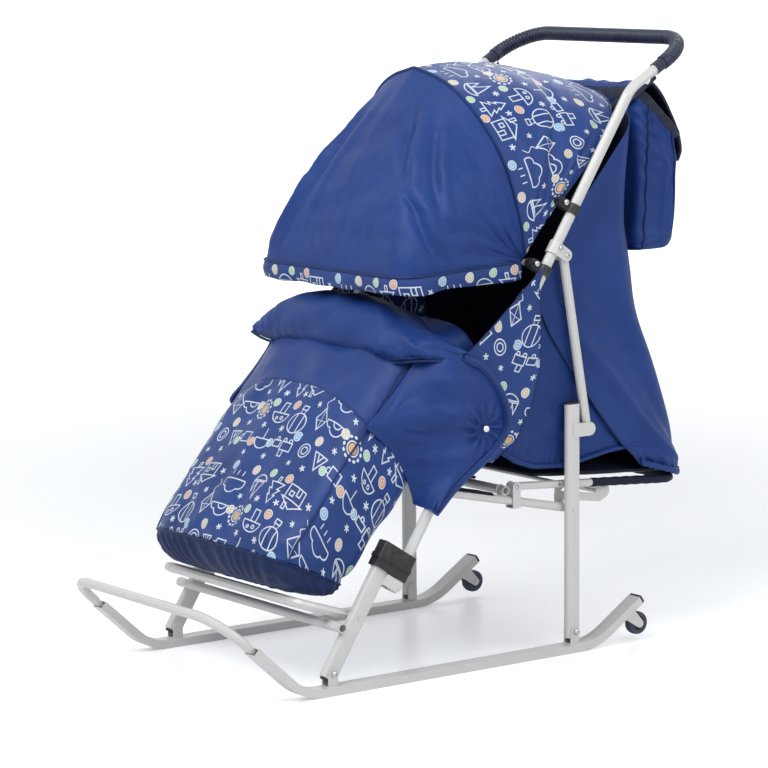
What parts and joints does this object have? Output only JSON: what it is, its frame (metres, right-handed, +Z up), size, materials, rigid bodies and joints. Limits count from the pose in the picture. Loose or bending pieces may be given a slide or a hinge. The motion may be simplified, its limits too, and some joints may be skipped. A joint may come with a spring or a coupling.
{
  "type": "child sled with foot muff and hood",
  "caption": "Folding child sled on tubular runners with rear wheels, a reclining seat in a padded foot muff, an adjustable hood, a push handle and a hanging bag.",
  "frame": {"origin": "on the ground, under the middle of the sled's box, on its middle plane", "axes": "+Z up, -Y the way the sled travels, +X to the child's left"},
  "size_m": [0.5256, 1.0764, 1.0919],
  "materials": {
    "white_enamel": "gloss",
    "black_plastic": "moulded",
    "wheel_rubber": "matt",
    "blue_nylon": "soft sheen",
    "printed_nylon": "printed",
    "navy_lining": "matt"
  },
  "bodies": {
    "sled_base": {"runner_left": "white_enamel", "runner_right": "white_enamel", "runner_end_cap_left": "black_plastic", "runner_end_cap_right": "black_plastic", "front_bow": "white_enamel"},
    "wheel_left": {"wheel_left": "wheel_rubber"},
    "wheel_right": {"wheel_right": "wheel_rubber"},
    "front_legs": {"front_leg_left": "white_enamel", "front_leg_right": "white_enamel", "leg_plug_left": "black_plastic", "leg_plug_right": "black_plastic", "footrest_cross_tube": "white_enamel", "footrest_loop": "white_enamel"},
    "handle_frame": {"handle_tube": "white_enamel", "handle_grip": "black_plastic", "brace_clamp_left": "white_enamel", "brace_clamp_right": "white_enamel", "hood_clip_lower_left": "black_plastic", "hood_clip_lower_right": "black_plastic", "hood_clip_upper_left": "black_plastic", "hood_clip_upper_right": "black_plastic", "hood_rear_bow": "white_enamel", "hood_rear_panel": "printed_nylon", "side_wing_left": "printed_nylon", "side_wing_right": "printed_nylon", "rear_curtain": "blue_nylon", "handle_bag": "blue_nylon"},
    "sleeve_left": {"lock_sleeve_left": "black_plastic"},
    "sleeve_right": {"lock_sleeve_right": "black_plastic"},
    "rear_posts": {"rear_post_left": "white_enamel", "rear_post_right": "white_enamel", "post_cap_left": "black_plastic", "post_cap_right": "black_plastic", "post_plug_left": "black_plastic", "post_plug_right": "black_plastic"},
    "braces": {"brace_left": "white_enamel", "brace_right": "white_enamel"},
    "seat_frame": {"seat_tube_left": "white_enamel", "seat_tube_right": "white_enamel", "recline_bracket_left": "white_enamel", "recline_bracket_right": "white_enamel", "recline_comb_left": "white_enamel", "recline_comb_right": "white_enamel", "seat_cross_tube": "white_enamel", "seat_sling": "navy_lining", "seat_pad": "navy_lining", "foot_muff": "printed_nylon", "muff_sole": "navy_lining", "muff_flap": "blue_nylon"},
    "backrest": {"backrest_frame": "white_enamel", "back_pad": "navy_lining"},
    "strut": {"recline_strut": "white_enamel"},
    "hood_front": {"hood_front_bow": "white_enamel", "hood_visor": "blue_nylon", "hood_valance": "printed_nylon"},
    "hood_middle": {"hood_mid_bow": "white_enamel"},
    "bag_lid": {"bag_flap": "blue_nylon"}
  },
  "joints": [
    {"name": "wheel_left_spin", "type": "hinge", "parent": "sled_base", "child": "wheel_left", "pos_m": [0.2395, 0.36995, 0.032], "axis": [1, 0, 0], "continuous": true},
    {"name": "wheel_right_spin", "type": "hinge", "parent": "sled_base", "child": "wheel_right", "pos_m": [-0.2395, 0.36995, 0.032], "axis": [1, 0, 0], "continuous": true},
    {"name": "frame_fold", "type": "hinge", "parent": "sled_base", "child": "front_legs", "pos_m": [0, -0.30905, 0.038], "axis": [1, 0, 0], "range_deg": [0, 69.75], "deforming": ["rear_curtain"]},
    {"name": "knee_fold", "type": "hinge", "parent": "front_legs", "child": "handle_frame", "pos_m": [0, -0.17507, 0.16954], "axis": [1, 0, 0], "range_deg": [-98.1, 0]},
    {"name": "post_fold", "type": "hinge", "parent": "sled_base", "child": "rear_posts", "pos_m": [0, 0.21895, 0.038], "axis": [1, 0, 0], "range_deg": [0, 50.1]},
    {"name": "brace_fold", "type": "hinge", "parent": "handle_frame", "child": "braces", "pos_m": [0, 0.19816, 0.70953], "axis": [1, 0, 0], "range_deg": [-29.6, 0]},
    {"name": "seat_fold", "type": "hinge", "parent": "handle_frame", "child": "seat_frame", "pos_m": [0, -0.07863, 0.32034], "axis": [1, 0, 0], "range_deg": [0, 17.6]},
    {"name": "sleeve_left_lift", "type": "slide", "parent": "handle_frame", "child": "sleeve_left", "axis": [0, 0.5388, 0.8425], "range_m": [0, 0.0951]},
    {"name": "sleeve_right_lift", "type": "slide", "parent": "handle_frame", "child": "sleeve_right", "axis": [0, 0.5388, 0.8425], "range_m": [0, 0.0951]},
    {"name": "back_recline", "type": "hinge", "parent": "seat_frame", "child": "backrest", "pos_m": [0, 0.10095, 0.30842], "axis": [1, 0, 0], "range_deg": [0, 48], "deforming": ["rear_curtain"]},
    {"name": "strut_swing", "type": "hinge", "parent": "backrest", "child": "strut", "pos_m": [0, 0.20072, 0.30162], "axis": [1, 0, 0], "range_deg": [-96.1, 0]},
    {"name": "hood_open", "type": "hinge", "parent": "handle_frame", "child": "hood_front", "pos_m": [0, 0.13011, 0.69963], "axis": [1, 0, 0], "range_deg": [-105, 0], "deforming": ["hood_visor", "hood_rear_panel"]},
    {"name": "middle_bow_swing", "type": "hinge", "parent": "handle_frame", "child": "hood_middle", "pos_m": [0, 0.13011, 0.69963], "axis": [1, 0, 0], "range_deg": [-40, 0]},
    {"name": "bag_lid_open", "type": "hinge", "parent": "handle_frame", "child": "bag_lid", "pos_m": [0, 0.42295, 0.9739], "axis": [1, 0, 0], "range_deg": [0, 70]}
  ],
  "couplings": [
    {"joint": "knee_fold", "follows": "frame_fold", "ratio": -1.4048},
    {"joint": "post_fold", "follows": "frame_fold", "ratio": 0.7168},
    {"joint": "brace_fold", "follows": "frame_fold", "ratio": -0.4221},
    {"joint": "seat_fold", "follows": "frame_fold", "ratio": 0.2504},
    {"joint": "sleeve_left_lift", "follows": "frame_fold", "m_per_rad": 0.078},
    {"joint": "sleeve_right_lift", "follows": "frame_fold", "m_per_rad": 0.078},
    {"joint": "strut_swing", "follows": "back_recline", "ratio": -2},
    {"joint": "middle_bow_swing", "follows": "hood_open", "ratio": 0.38}
  ]
}
